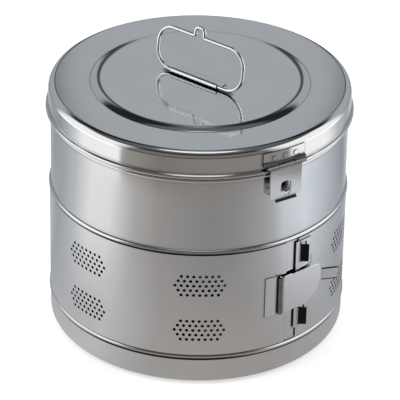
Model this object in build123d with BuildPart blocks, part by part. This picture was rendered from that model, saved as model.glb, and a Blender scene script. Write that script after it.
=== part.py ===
from build123d import *
from math import cos, degrees, radians, sin
import os

# A round stainless sterilization drum: a perforated wall on a pressed base, a vent band that slides
# round the wall to open or shut the vents, a hinged lid with a hasp, and a wire handle on the lid.
# Millimetres. The origin is the centre of the base, +Z is up, the hasp faces -Y and the lid hinge +Y.
# An azimuth is measured from -Y towards +X, in degrees.

# ---------------------------------------------------------------- driving dimensions
# Sheet gauges and working clearances
sheet = 0.8              # wall, base, lid and vent band
plate = 1.0              # hinge, hasp and clasp leaves
wall_fit = 0.1           # base cup over the wall
seat_gap = 0.3           # between faces that rest on or slide past each other
pin_fit = 0.05           # radial clearance of a pin or rivet in its hole
leaf_gap = 0.4           # end clearance between the knuckles of a hinge

# Drum wall
drum_radius = 134.2      # outside of the plain wall
drum_height = 233.9      # base to the top of the rolled rim
rim_roll_radius = 2.2    # rolled rim, turned inwards
bead_half_height = 2.4   # half the height of a swaged bead
bead_rise = 2.0          # how far a bead stands out of the wall
base_bead_height = 28.6  # bead that carries the vent band
mid_bead_height = 136.5  # bead that holds the vent band down
lid_bead_rise = 1.7      # bead just under the closed lid
lid_bead_drop = 3.2      # from the lid's lower edge down to that bead

# Base cup
base_corner_radius = 9.0
base_ring_radius = 95.5  # stiffening ring pressed into the bottom
base_ring_width = 8.0
base_ring_depth = 2.2
base_ring_slope = 2.5    # run of each sloping side of the ring
base_ring_bend = 1.5

# Lid
lid_clearance = 1.2      # between the wall and the lid's skirt
lid_skirt_depth = 23.3   # flat of the lid down to the bottom of its wired edge
lid_corner_radius = 4.2
lid_edge_radius = 1.6    # wired edge
plateau_radius = 93.5    # raised middle of the lid
plateau_rise = 4.0
plateau_slope = 12.5     # run of the slope round the raised middle
plateau_bend = 12.0

# Vents and vent band
band_fit = 0.3
vent_rows = (7, 8, 9, 8, 7)  # holes in each row of a group
vent_pitch = 5.5
vent_hole = 2.5          # across the flats of a punched hole
vent_heights = (57.0, 103.0)
vent_groups = 7
vent_group_step = 48.0   # degrees between groups
vent_first_azimuth = 40.5
vent_window_margin = 0.7 # the wall's window reaches this far past the outer holes

# Clasp that joins the two ends of the vent band
clasp_azimuth = 5.8      # middle of the gap between the band's two ends
clasp_gap = 13.0         # width of that gap
clasp_height = 83.0      # middle of the clasp leaf
clasp_leaf_height = 37.0
clasp_leaf_length = 44.0
clasp_leaf_tilt = 4.0    # degrees that the leaf leans towards the wall
clasp_corner_run = 17.0  # cut lower corner of the leaf
clasp_corner_cut = 3.4   # how far the cut's middle stands back from the leaf's end
clasp_corner_rise = 21.0
clasp_pin_inset = 7.2    # from the end of the band back to the pin
clasp_fixed_width = 14.5
clasp_fixed_height = 39.6
clasp_barrel_radius = 2.2
clasp_pin_radius = 1.1
clasp_tab_length = 15.5  # finger tab at the end of the leaf
clasp_tab_height = 12.0
clasp_tab_lift = 7.0     # middle of the tab above the middle of the leaf
clasp_tab_angle = 22.0   # degrees that the tab is bent outwards
bracket_width = 18.0
bracket_height = 89.0
bracket_rise = 3.5       # middle of the bracket above the middle of the leaf
bracket_overhang = 3.0   # past the end of the band
bracket_border = 3.0     # sheet left above or below an ear
ear_length = 9.0
ear_height = 17.5
ear_angle = 42.0         # degrees that an ear is bent outwards
ear_slit = 0.6           # cut round an ear
plate_corner_radius = 2.0

# Hasp
hasp_plate_width = 42.5
hasp_leaf_width = 32.5
hasp_leaf_drop = 32.0    # hinge pin down to the start of the lip
hasp_barrel_length = 40.0
hasp_barrel_radius = 2.2
hasp_pin_radius = 0.9
hasp_knuckle = 16.0
hasp_corner_radius = 3.0
hasp_slot_width = 10.0   # opening that the stud stands in
hasp_slot_height = 14.2
hasp_slot_corner = 3.0
hasp_slot_drop = 23.4    # hinge pin down to the middle of that opening
hasp_lip_width = 21.5
hasp_lip_radius = 2.6
stud_drop = 22.6         # hinge pin down to the stud
stud_flange_radius = 6.0
stud_flange = 1.2
stud_neck_radius = 2.6
stud_head_radius = 3.8
stud_head = 2.6
stud_head_rounding = 1.9
stud_shank_radius = 2.0
stud_tail_radius = 3.0
stud_washer_radius = 6.0

# Lid hinge
hinge_azimuth = 180.0
hinge_width = 34.0
hinge_knuckle = 12.0
hinge_barrel_radius = 2.4
hinge_pin_radius = 1.2
hinge_drum_leaf_drop = 35.0  # hinge pin down to the leaf's lower edge
hinge_lid_leaf_rise = 18.0   # hinge pin up to the leaf's upper edge

# Rivets
rivet_shank_radius = 1.2
rivet_head_radius = 2.2
rivet_head = 0.8
rivet_tail = 0.4
rivet_head_taper = 20.0  # degrees
rivet_spacing = 11.0

# Handle
handle_azimuth = 19.0    # direction that the hinge line points to
handle_side = 8.0        # hinge line off the centre of the lid
handle_forward = 3.6     # handle's middle along the hinge line; the saddle's is at the centre
handle_wire_radius = 1.65
handle_half_width = 47.8
handle_height = 39.5
handle_lean = 8.0        # degrees from upright at rest
handle_low_corner = 17.0
handle_high_corner = 16.0
hanger_half_width = 4.9  # small arch near the middle of the handle's top
hanger_back = 3.0        # from the handle's middle back to the arch
hanger_height = 8.6
hanger_foot_radius = 2.2
hanger_top_radius = 4.0
saddle_length = 52.0
saddle_flange = 12.0
saddle_wall = 0.9

# ---------------------------------------------------------------- sizes that follow
wall_inner_radius = drum_radius - sheet
lid_seat = drum_height + seat_gap
lid_flat = lid_seat + sheet
lid_top = lid_flat + plateau_rise
skirt_inner_radius = drum_radius + lid_clearance
skirt_radius = skirt_inner_radius + sheet
lid_edge_height = lid_flat - lid_skirt_depth + lid_edge_radius
lid_edge_centre = skirt_inner_radius + lid_edge_radius
lid_edge_crest = lid_edge_centre + lid_edge_radius
lid_bead_height = lid_edge_height - lid_edge_radius - lid_bead_drop

base_inner_radius = drum_radius + wall_fit
base_radius = base_inner_radius + sheet
base_rim_height = base_bead_height - bead_half_height - seat_gap
wall_foot = base_corner_radius + sheet + wall_fit

band_inner_radius = drum_radius + band_fit
band_radius = band_inner_radius + sheet
band_foot = base_bead_height + bead_half_height + seat_gap
band_head = mid_bead_height - bead_half_height - seat_gap

vent_row_step = vent_pitch * sin(radians(60.0))
vent_azimuths = [vent_first_azimuth + group * vent_group_step for group in range(vent_groups)]


# ---------------------------------------------------------------- planes and shared shapes
def meridian(azimuth):
    """Upright plane through the drum's axis: local x is the radius, local y is up."""
    angle = radians(azimuth)
    return Plane(
        origin=(0, 0, 0),
        x_dir=(sin(angle), -cos(angle), 0),
        z_dir=(-cos(angle), -sin(angle), 0),
    )


def facing(azimuth, radius, height):
    """Plane touching the drum: local x runs round it, local y is up, local z points outwards."""
    angle = radians(azimuth)
    return Plane(
        origin=(radius * sin(angle), -radius * cos(angle), height),
        x_dir=(cos(angle), sin(angle), 0),
        z_dir=(sin(angle), -cos(angle), 0),
    )


def sweep_angle(length, radius):
    """Degrees that a length takes up on a circle of this radius."""
    return degrees(length / radius)


def bead(height, rise):
    """A swaged bead in the line of the wall."""
    return ThreePointArc(
        (drum_radius, height - bead_half_height),
        (drum_radius + rise, height),
        (drum_radius, height + bead_half_height),
    )


def curved_plate(azimuth, width, radius, low, high):
    """A leaf lying on a round surface of this radius, from an azimuth onwards."""
    with BuildSketch(meridian(azimuth)) as section:
        with Locations((radius + plate / 2, (low + high) / 2)):
            Rectangle(plate, high - low)
    revolve(section.sketch, axis=Axis.Z, revolution_arc=sweep_angle(width, radius))


def knuckles(azimuth, pin_at, spans, outer_radius, bore_radius, mode=Mode.ADD):
    """Rings round a pin that runs tangent to the drum, one for each span along the pin."""
    for start, end in spans:
        with BuildSketch(meridian(azimuth).offset(start)) as ring:
            with Locations(pin_at):
                Circle(outer_radius)
                if bore_radius:
                    Circle(bore_radius, mode=Mode.SUBTRACT)
        extrude(ring.sketch, amount=end - start, mode=mode)


def pin(azimuth, pin_at, length, radius):
    """A hinge pin tangent to the drum."""
    with BuildSketch(meridian(azimuth).offset(-length / 2)) as section:
        with Locations(pin_at):
            Circle(radius)
    extrude(section.sketch, amount=length)
    chamfer(edges().filter_by(GeomType.CIRCLE), radius / 4)


def rivet_azimuths(azimuth, count, radius):
    """Azimuths of a level row of rivets centred on a leaf."""
    step = sweep_angle(rivet_spacing, radius)
    return [azimuth + (index - (count - 1) / 2) * step for index in range(count)]


def rivet(azimuth, outer_radius, height, grip):
    """A rivet set from outside: head, shank through the stack, and a flat tail."""
    tail_face = outer_radius - grip - pin_fit
    with BuildSketch(facing(azimuth, outer_radius, height)) as head:
        Circle(rivet_head_radius)
    extrude(head.sketch, amount=rivet_head, taper=rivet_head_taper)
    with BuildSketch(facing(azimuth, tail_face - rivet_tail, height)) as tail:
        Circle(rivet_head_radius)
    extrude(tail.sketch, amount=rivet_tail)
    with BuildSketch(facing(azimuth, tail_face, height)) as shank:
        Circle(rivet_shank_radius)
    extrude(shank.sketch, amount=grip + pin_fit)


def rivet_hole(azimuth, outer_radius, height, radius=rivet_shank_radius + pin_fit):
    """The hole for a rivet or stud, through whatever lies at this radius."""
    depth = 4 * (sheet + plate)
    with BuildSketch(facing(azimuth, outer_radius - depth / 2, height)) as hole:
        Circle(radius)
    extrude(hole.sketch, amount=depth, mode=Mode.SUBTRACT)


def vent_planes(radius):
    """One plane facing outwards at the middle of each vent group."""
    return [facing(azimuth, radius, height) for azimuth in vent_azimuths for height in vent_heights]


def vent_places():
    """Where the holes of one vent group lie: staggered rows about its middle."""
    places = []
    for row, count in enumerate(vent_rows):
        level = ((len(vent_rows) - 1) / 2 - row) * vent_row_step
        for index in range(count):
            places.append(((index - (count - 1) / 2) * vent_pitch, level))
    return places


# ---------------------------------------------------------------- lid hinge and hasp places
hinge_pin_at = (lid_edge_crest + leaf_gap + hinge_barrel_radius, lid_edge_height)
hinge_inner_half = hinge_knuckle / 2
hinge_outer_spans = (
    (-hinge_width / 2, -hinge_inner_half - leaf_gap),
    (hinge_inner_half + leaf_gap, hinge_width / 2),
)
hinge_outer_clearance = (
    (-hinge_width, -hinge_inner_half),
    (hinge_inner_half, hinge_width),
)
hinge_inner_spans = ((-hinge_inner_half, hinge_inner_half),)
hinge_bore = hinge_pin_radius + pin_fit
hinge_drum_rivet_height = hinge_pin_at[1] - hinge_drum_leaf_drop + rivet_spacing / 2
hinge_lid_rivet_height = hinge_pin_at[1] + hinge_lid_leaf_rise - rivet_spacing / 2

hasp_pin_at = (
    lid_edge_crest + leaf_gap + plate / 2,
    lid_edge_height + lid_edge_radius + leaf_gap + hasp_barrel_radius,
)
hasp_inner_half = hasp_knuckle / 2
hasp_outer_spans = (
    (-hasp_barrel_length / 2, -hasp_inner_half - leaf_gap),
    (hasp_inner_half + leaf_gap, hasp_barrel_length / 2),
)
hasp_inner_spans = ((-hasp_inner_half, hasp_inner_half),)
hasp_bore = hasp_pin_radius + pin_fit
hasp_plate_top = lid_flat - lid_corner_radius
hasp_plate_foot = hasp_pin_at[1] + hasp_barrel_radius
hasp_rivet_height = (hasp_plate_top + hasp_plate_foot) / 2
stud_height = hasp_pin_at[1] - stud_drop

# ---------------------------------------------------------------- drum wall
with BuildPart() as drum_shell:
    with BuildSketch(meridian(0)):
        with BuildLine():
            lower_bead = bead(base_bead_height, bead_rise)
            middle_bead = bead(mid_bead_height, bead_rise)
            upper_bead = bead(lid_bead_height, lid_bead_rise)
            Line((drum_radius, wall_foot), lower_bead @ 0)
            Line(lower_bead @ 1, middle_bead @ 0)
            Line(middle_bead @ 1, upper_bead @ 0)
            Line(upper_bead @ 1, (drum_radius, drum_height - rim_roll_radius))
            offset(amount=sheet, side=Side.LEFT)
        make_face()
        with Locations((drum_radius - rim_roll_radius, drum_height - rim_roll_radius)):
            Circle(rim_roll_radius)
    revolve(axis=Axis.Z)
    # A window behind each group of vent holes
    window_reach = vent_hole / 2 + vent_window_margin
    window_half_height = (len(vent_rows) - 1) / 2 * vent_row_step + window_reach
    window_half_width = (max(vent_rows) - 1) / 2 * vent_pitch + window_reach
    window_half_end = (min(vent_rows) - 1) / 2 * vent_pitch + window_reach
    with BuildSketch(*vent_planes(wall_inner_radius - 2 * sheet)):
        Polygon(
            (window_half_width, 0),
            (window_half_end, window_half_height),
            (-window_half_end, window_half_height),
            (-window_half_width, 0),
            (-window_half_end, -window_half_height),
            (window_half_end, -window_half_height),
        )
    extrude(amount=6 * sheet, mode=Mode.SUBTRACT)
    for rivet_azimuth in rivet_azimuths(hinge_azimuth, 3, drum_radius):
        rivet_hole(rivet_azimuth, drum_radius, hinge_drum_rivet_height)
    rivet_hole(0, drum_radius, stud_height, stud_shank_radius + pin_fit)

# ---------------------------------------------------------------- base cup
with BuildPart() as base_pan:
    ring_inner = base_ring_radius - base_ring_width / 2
    ring_outer = base_ring_radius + base_ring_width / 2
    with BuildSketch(meridian(0)):
        with BuildLine():
            FilletPolyline(
                (0, 0),
                (ring_inner - base_ring_slope, 0),
                (ring_inner, base_ring_depth),
                (ring_outer, base_ring_depth),
                (ring_outer + base_ring_slope, 0),
                (base_radius, 0),
                (base_radius, base_rim_height),
                radius=[base_ring_bend] * 4 + [base_corner_radius],
            )
            offset(amount=sheet, side=Side.LEFT)
        make_face()
    revolve(axis=Axis.Z)

# ---------------------------------------------------------------- lid
with BuildPart() as lid_pan:
    with BuildSketch(meridian(0)):
        with BuildLine():
            FilletPolyline(
                (0, lid_top),
                (plateau_radius, lid_top),
                (plateau_radius + plateau_slope, lid_flat),
                (skirt_radius, lid_flat),
                (skirt_radius, lid_edge_height),
                radius=[plateau_bend, plateau_bend, lid_corner_radius],
            )
            offset(amount=sheet, side=Side.RIGHT)
        make_face()
        with Locations((lid_edge_centre, lid_edge_height)):
            Circle(lid_edge_radius)
    revolve(axis=Axis.Z)
    for rivet_azimuth in rivet_azimuths(hinge_azimuth, 3, skirt_radius):
        rivet_hole(rivet_azimuth, skirt_radius, hinge_lid_rivet_height)
    for rivet_azimuth in rivet_azimuths(0, 3, skirt_radius):
        rivet_hole(rivet_azimuth, skirt_radius, hasp_rivet_height)

# ---------------------------------------------------------------- lid hinge
with BuildPart() as hinge_drum_leaf:
    hinge_foot = hinge_pin_at[1] - hinge_drum_leaf_drop
    hinge_bend = lid_bead_height - 2 * bead_half_height
    with BuildSketch(meridian(hinge_azimuth - sweep_angle(hinge_width, drum_radius) / 2)) as leaf:
        with BuildLine():
            Polyline(
                (drum_radius, hinge_foot),
                (drum_radius, hinge_bend),
                (hinge_pin_at[0] - hinge_barrel_radius / 2, hinge_pin_at[1] - hinge_barrel_radius / 2),
            )
            offset(amount=plate, side=Side.RIGHT)
        make_face()
    revolve(axis=Axis.Z, revolution_arc=sweep_angle(hinge_width, drum_radius))
    knuckles(hinge_azimuth, hinge_pin_at, hinge_outer_clearance, hinge_barrel_radius + leaf_gap, 0,
             Mode.SUBTRACT)
    knuckles(hinge_azimuth, hinge_pin_at, hinge_inner_spans, hinge_barrel_radius, 0)
    knuckles(hinge_azimuth, hinge_pin_at, hinge_inner_spans, hinge_bore, 0, Mode.SUBTRACT)
    for rivet_azimuth in rivet_azimuths(hinge_azimuth, 3, drum_radius):
        rivet_hole(rivet_azimuth, drum_radius, hinge_drum_rivet_height)

with BuildPart() as hinge_lid_leaf:
    with BuildSketch(meridian(hinge_azimuth - sweep_angle(hinge_width, skirt_radius) / 2)) as leaf:
        with BuildLine():
            Polyline(
                (skirt_radius, hinge_pin_at[1] + hinge_lid_leaf_rise),
                (skirt_radius, hinge_pin_at[1] + hinge_barrel_radius + 2 * plate),
                (hinge_pin_at[0], hinge_pin_at[1] + hinge_barrel_radius - plate),
            )
            offset(amount=plate, side=Side.LEFT)
        make_face()
    revolve(axis=Axis.Z, revolution_arc=sweep_angle(hinge_width, skirt_radius))
    knuckles(hinge_azimuth, hinge_pin_at, ((-hinge_inner_half - leaf_gap, hinge_inner_half + leaf_gap),),
             hinge_barrel_radius + leaf_gap, 0, Mode.SUBTRACT)
    knuckles(hinge_azimuth, hinge_pin_at, hinge_outer_spans, hinge_barrel_radius, 0)
    knuckles(hinge_azimuth, hinge_pin_at, hinge_outer_spans, hinge_bore, 0, Mode.SUBTRACT)
    for rivet_azimuth in rivet_azimuths(hinge_azimuth, 3, skirt_radius):
        rivet_hole(rivet_azimuth, skirt_radius, hinge_lid_rivet_height)

with BuildPart() as hinge_pin:
    pin(hinge_azimuth, hinge_pin_at, hinge_width + 2 * plate, hinge_pin_radius)

with BuildPart() as hinge_drum_rivets:
    for rivet_azimuth in rivet_azimuths(hinge_azimuth, 3, drum_radius):
        rivet(rivet_azimuth, drum_radius + plate, hinge_drum_rivet_height, plate + sheet)

with BuildPart() as hinge_lid_rivets:
    for rivet_azimuth in rivet_azimuths(hinge_azimuth, 3, skirt_radius):
        rivet(rivet_azimuth, skirt_radius + plate, hinge_lid_rivet_height, plate + sheet)

# ---------------------------------------------------------------- hasp
with BuildPart() as hasp_plate:
    with BuildSketch(meridian(-sweep_angle(hasp_plate_width, skirt_radius) / 2)) as leaf:
        with BuildLine():
            Polyline(
                (skirt_radius, hasp_plate_top),
                (skirt_radius, hasp_plate_foot + plate),
                (hasp_pin_at[0], hasp_pin_at[1] + hasp_barrel_radius - plate),
            )
            offset(amount=plate, side=Side.LEFT)
        make_face()
    revolve(axis=Axis.Z, revolution_arc=sweep_angle(hasp_plate_width, skirt_radius))
    knuckles(0, hasp_pin_at, ((-hasp_inner_half - leaf_gap, hasp_inner_half + leaf_gap),),
             hasp_barrel_radius + leaf_gap, 0, Mode.SUBTRACT)
    knuckles(0, hasp_pin_at, hasp_outer_spans, hasp_barrel_radius, 0)
    knuckles(0, hasp_pin_at, hasp_outer_spans, hasp_bore, 0, Mode.SUBTRACT)
    for rivet_azimuth in rivet_azimuths(0, 3, skirt_radius):
        rivet_hole(rivet_azimuth, skirt_radius, hasp_rivet_height)

with BuildPart() as hasp_rivets:
    for rivet_azimuth in rivet_azimuths(0, 3, skirt_radius):
        rivet(rivet_azimuth, skirt_radius + plate, hasp_rivet_height, plate + sheet)

with BuildPart() as hasp_pin:
    pin(0, hasp_pin_at, hasp_barrel_length + plate, hasp_pin_radius)

with BuildPart() as hasp_leaf:
    leaf_head = -hasp_barrel_radius - leaf_gap
    with BuildSketch(facing(0, hasp_pin_at[0] - plate / 2, hasp_pin_at[1])):
        with Locations((0, (leaf_head - hasp_leaf_drop) / 2)):
            Rectangle(hasp_leaf_width, hasp_leaf_drop + leaf_head)
        fillet(vertices().group_by(Axis.Y)[0], hasp_corner_radius)
        with Locations((0, leaf_head / 2)):
            Rectangle(hasp_knuckle, -leaf_head)
        with Locations((0, -hasp_slot_drop)):
            RectangleRounded(hasp_slot_width, hasp_slot_height, hasp_slot_corner, mode=Mode.SUBTRACT)
    extrude(amount=plate)
    with BuildSketch(meridian(0)) as lip:
        with BuildLine():
            lip_start = (hasp_pin_at[0] - plate / 2, hasp_pin_at[1] - hasp_leaf_drop + plate)
            lip_drop = Line(lip_start, (lip_start[0], lip_start[1] - plate))
            TangentArc(
                lip_drop @ 1,
                (lip_start[0] + hasp_lip_radius, lip_start[1] - plate - hasp_lip_radius),
                tangent=lip_drop % 1,
            )
            offset(amount=plate, side=Side.LEFT)
        make_face()
    extrude(amount=hasp_lip_width / 2, both=True)
    knuckles(0, hasp_pin_at, hasp_inner_spans, hasp_barrel_radius, 0)
    knuckles(0, hasp_pin_at, hasp_inner_spans, hasp_bore, 0, Mode.SUBTRACT)

# Stud that the hasp closes on, set through the wall with a washer inside
stud_neck_end = hasp_pin_at[0] + plate / 2 + seat_gap
stud_tail = wall_inner_radius - seat_gap - plate - pin_fit
with BuildPart() as hasp_stud:
    with BuildSketch(facing(0, drum_radius, stud_height)):
        Circle(stud_flange_radius)
    extrude(amount=stud_flange)
    with BuildSketch(facing(0, drum_radius, stud_height)):
        Circle(stud_neck_radius)
    extrude(amount=stud_neck_end - drum_radius)
    with BuildSketch(facing(0, stud_neck_end, stud_height)):
        Circle(stud_head_radius)
    extrude(amount=stud_head)
    fillet(edges().filter_by(GeomType.CIRCLE).sort_by(Axis.Y)[0], stud_head_rounding)
    with BuildSketch(facing(0, stud_tail, stud_height)):
        Circle(stud_shank_radius)
    extrude(amount=drum_radius - stud_tail)
    with BuildSketch(facing(0, stud_tail - rivet_tail, stud_height)):
        Circle(stud_tail_radius)
    extrude(amount=rivet_tail)

with BuildPart() as hasp_stud_washer:
    with BuildSketch(facing(0, wall_inner_radius - seat_gap - plate, stud_height)):
        Circle(stud_washer_radius)
        Circle(stud_shank_radius + pin_fit, mode=Mode.SUBTRACT)
    extrude(amount=plate)

# ---------------------------------------------------------------- vent band
band_gap_angle = sweep_angle(clasp_gap, band_radius)
band_left_end = clasp_azimuth - band_gap_angle / 2
band_right_end = clasp_azimuth + band_gap_angle / 2

with BuildPart() as vent_band:
    with BuildSketch(meridian(band_right_end)):
        with Locations(((band_inner_radius + band_radius) / 2, (band_foot + band_head) / 2)):
            Rectangle(sheet, band_head - band_foot)
    revolve(axis=Axis.Z, revolution_arc=360 - band_gap_angle)
    with BuildSketch(*vent_planes(band_inner_radius - 2 * sheet)):
        with Locations(vent_places()):
            Rectangle(vent_hole, vent_hole, rotation=45)
    extrude(amount=6 * sheet, mode=Mode.SUBTRACT)

# ---------------------------------------------------------------- clasp
clasp_pin_distance = band_radius + seat_gap + clasp_barrel_radius
clasp_pin_azimuth = band_left_end - sweep_angle(clasp_pin_inset, band_radius)
clasp_pin_angle = radians(clasp_pin_azimuth)
clasp_pin_at = (clasp_pin_distance * sin(clasp_pin_angle), -clasp_pin_distance * cos(clasp_pin_angle))
clasp_low = clasp_height - clasp_leaf_height / 2
clasp_knuckle_low = clasp_height - clasp_leaf_height / 4
clasp_knuckle_high = clasp_height + clasp_leaf_height / 4
clasp_bore = clasp_pin_radius + pin_fit


def upright_ring(low, high, outer_radius, mode=Mode.ADD):
    """A knuckle of the clasp, or with Mode.SUBTRACT its bore or its clearance."""
    with BuildSketch(Plane.XY.offset(low)) as ring:
        with Locations(clasp_pin_at):
            Circle(outer_radius)
    extrude(ring.sketch, amount=high - low, mode=mode)


with BuildPart() as clasp_fixed_leaf:
    fixed_low = clasp_height - clasp_fixed_height / 2
    fixed_high = clasp_height + clasp_fixed_height / 2
    fixed_start = clasp_pin_azimuth - sweep_angle(clasp_fixed_width, band_radius)
    curved_plate(fixed_start, clasp_fixed_width, band_radius, fixed_low, fixed_high)
    upright_ring(clasp_low, clasp_low + clasp_leaf_height, clasp_barrel_radius)
    upright_ring(clasp_knuckle_low - leaf_gap, clasp_knuckle_high + leaf_gap,
                 clasp_barrel_radius + leaf_gap, Mode.SUBTRACT)
    upright_ring(fixed_low, fixed_high, clasp_bore, Mode.SUBTRACT)

with BuildPart() as clasp_pin:
    with BuildSketch(Plane.XY.offset(clasp_low - plate)):
        with Locations(clasp_pin_at):
            Circle(clasp_pin_radius)
    extrude(amount=clasp_leaf_height + 2 * plate)
    chamfer(edges().filter_by(GeomType.CIRCLE), clasp_pin_radius / 4)

leaf_heading = radians(clasp_pin_azimuth + clasp_leaf_tilt)
leaf_along = Vector(cos(leaf_heading), sin(leaf_heading), 0)
leaf_out = Vector(sin(leaf_heading), -cos(leaf_heading), 0)
leaf_plane = Plane(origin=(*clasp_pin_at, clasp_height), x_dir=leaf_along, z_dir=leaf_out)

with BuildPart() as clasp_leaf:
    leaf_start = clasp_barrel_radius + leaf_gap
    half_height = clasp_leaf_height / 2
    with BuildSketch(leaf_plane.offset(-plate / 2)):
        with BuildLine():
            FilletPolyline(
                (leaf_start, half_height),
                (leaf_start, -half_height),
                (clasp_leaf_length - clasp_corner_run, -half_height),
                (clasp_leaf_length - clasp_corner_cut, clasp_corner_rise / 2 - half_height),
                (clasp_leaf_length, clasp_corner_rise - half_height),
                (clasp_leaf_length, half_height),
                radius=plate_corner_radius,
                close=True,
            )
        make_face()
        with Locations((leaf_start / 2, 0)):
            Rectangle(leaf_start, clasp_leaf_height / 2)
    extrude(amount=plate)
    tab_low = clasp_height + clasp_tab_lift - clasp_tab_height / 2
    with BuildSketch(Plane(origin=(*clasp_pin_at, tab_low), x_dir=leaf_along, z_dir=(0, 0, 1))):
        with BuildLine():
            bend_angle = radians(clasp_tab_angle)
            FilletPolyline(
                (clasp_leaf_length - 2 * plate, -plate / 2),
                (clasp_leaf_length + plate, -plate / 2),
                (
                    clasp_leaf_length + plate + clasp_tab_length * cos(bend_angle),
                    -plate / 2 - clasp_tab_length * sin(bend_angle),
                ),
                radius=plate,
            )
            offset(amount=plate, side=Side.LEFT)
        make_face()
    extrude(amount=clasp_tab_height)
    upright_ring(clasp_knuckle_low, clasp_knuckle_high, clasp_barrel_radius)
    upright_ring(clasp_knuckle_low, clasp_knuckle_high, clasp_bore, Mode.SUBTRACT)

# Bracket on the other end of the band, with two ears cut from it and bent outwards
bracket_start = band_right_end - sweep_angle(bracket_overhang, band_radius)
bracket_middle = clasp_height + bracket_rise
ear_middle = (bracket_height - ear_height) / 2 - bracket_border
ear_frame = facing(band_right_end, band_radius, 0)
ear_angle_out = radians(ear_angle)

with BuildPart() as clasp_bracket:
    curved_plate(bracket_start, bracket_width, band_radius,
                 bracket_middle - bracket_height / 2, bracket_middle + bracket_height / 2)
    for ear_side in (-1, 1):
        ear_height_middle = bracket_middle + ear_side * ear_middle
        with BuildSketch(facing(band_right_end, band_radius - plate, ear_height_middle)) as window:
            with Locations(((ear_length + ear_slit) / 2, 0)):
                Rectangle(ear_length + ear_slit, ear_height + 2 * ear_slit)
        extrude(window.sketch, amount=4 * plate, mode=Mode.SUBTRACT)
        ear_foot = Plane(
            origin=ear_frame.origin + Vector(0, 0, ear_height_middle - ear_height / 2),
            x_dir=ear_frame.x_dir,
            z_dir=(0, 0, 1),
        )
        with BuildSketch(ear_foot) as ear:
            with BuildLine():
                FilletPolyline(
                    (-plate, 0),
                    (plate, 0),
                    (plate + ear_length * cos(ear_angle_out), -ear_length * sin(ear_angle_out)),
                    radius=plate / 2,
                )
                offset(amount=plate, side=Side.RIGHT)
            make_face()
        extrude(ear.sketch, amount=ear_height)

# ---------------------------------------------------------------- handle
handle_angle = radians(handle_azimuth)
hinge_line = Vector(sin(handle_angle), -cos(handle_angle), 0)
towards_side = Vector(-cos(handle_angle), -sin(handle_angle), 0)
saddle_bore = handle_wire_radius + pin_fit
saddle_radius = saddle_bore + saddle_wall
handle_pivot = (
    hinge_line * handle_forward + towards_side * handle_side + Vector(0, 0, lid_top + saddle_radius)
)
handle_lean_angle = radians(handle_lean)
handle_up = Vector(0, 0, 1) * cos(handle_lean_angle) - towards_side * sin(handle_lean_angle)
handle_plane = Plane(origin=handle_pivot, x_dir=hinge_line, z_dir=hinge_line.cross(handle_up))
saddle_plane = Plane(origin=handle_pivot, x_dir=towards_side * -1, z_dir=hinge_line)

with BuildPart() as handle_loop:
    for side in (-1, 1):
        hanger_side = side * hanger_half_width - hanger_back
        with BuildLine(handle_plane) as handle_half:
            FilletPolyline(
                (0, 0),
                (side * handle_half_width, 0),
                (side * handle_half_width, handle_height),
                (hanger_side, handle_height),
                (hanger_side, handle_height + hanger_height),
                (-hanger_back, handle_height + hanger_height),
                radius=[handle_low_corner, handle_high_corner, hanger_foot_radius, hanger_top_radius],
            )
        with BuildSketch(Plane(origin=handle_pivot, x_dir=handle_up, z_dir=hinge_line)):
            Circle(handle_wire_radius)
        sweep(path=handle_half.wires()[0])

with BuildPart() as handle_saddle:
    with BuildSketch(saddle_plane.offset(-handle_forward - saddle_length / 2)):
        Circle(saddle_radius)
        with Locations((saddle_flange / 2, -saddle_radius + saddle_wall / 2)):
            Rectangle(saddle_flange, saddle_wall)
        Circle(saddle_bore, mode=Mode.SUBTRACT)
    extrude(amount=saddle_length)

# ---------------------------------------------------------------- write the pieces
pieces = {
    "drum_shell": drum_shell,
    "base_pan": base_pan,
    "hasp_stud": hasp_stud,
    "hasp_stud_washer": hasp_stud_washer,
    "hinge_drum_leaf": hinge_drum_leaf,
    "hinge_drum_rivets": hinge_drum_rivets,
    "hinge_pin": hinge_pin,
    "lid_pan": lid_pan,
    "hinge_lid_leaf": hinge_lid_leaf,
    "hinge_lid_rivets": hinge_lid_rivets,
    "hasp_plate": hasp_plate,
    "hasp_rivets": hasp_rivets,
    "hasp_pin": hasp_pin,
    "hasp_leaf": hasp_leaf,
    "handle_saddle": handle_saddle,
    "handle_loop": handle_loop,
    "vent_band": vent_band,
    "clasp_fixed_leaf": clasp_fixed_leaf,
    "clasp_pin": clasp_pin,
    "clasp_bracket": clasp_bracket,
    "clasp_leaf": clasp_leaf,
}
os.makedirs("parts", exist_ok=True)
for name, piece in pieces.items():
    piece.part.label = name
    export_step(piece.part, f"parts/{name}.step")
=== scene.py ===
from math import atan2, cos, degrees, hypot, pi, radians, sin, sqrt, tan

import bmesh
import bpy
from mathutils import Matrix, Vector, geometry


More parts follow.
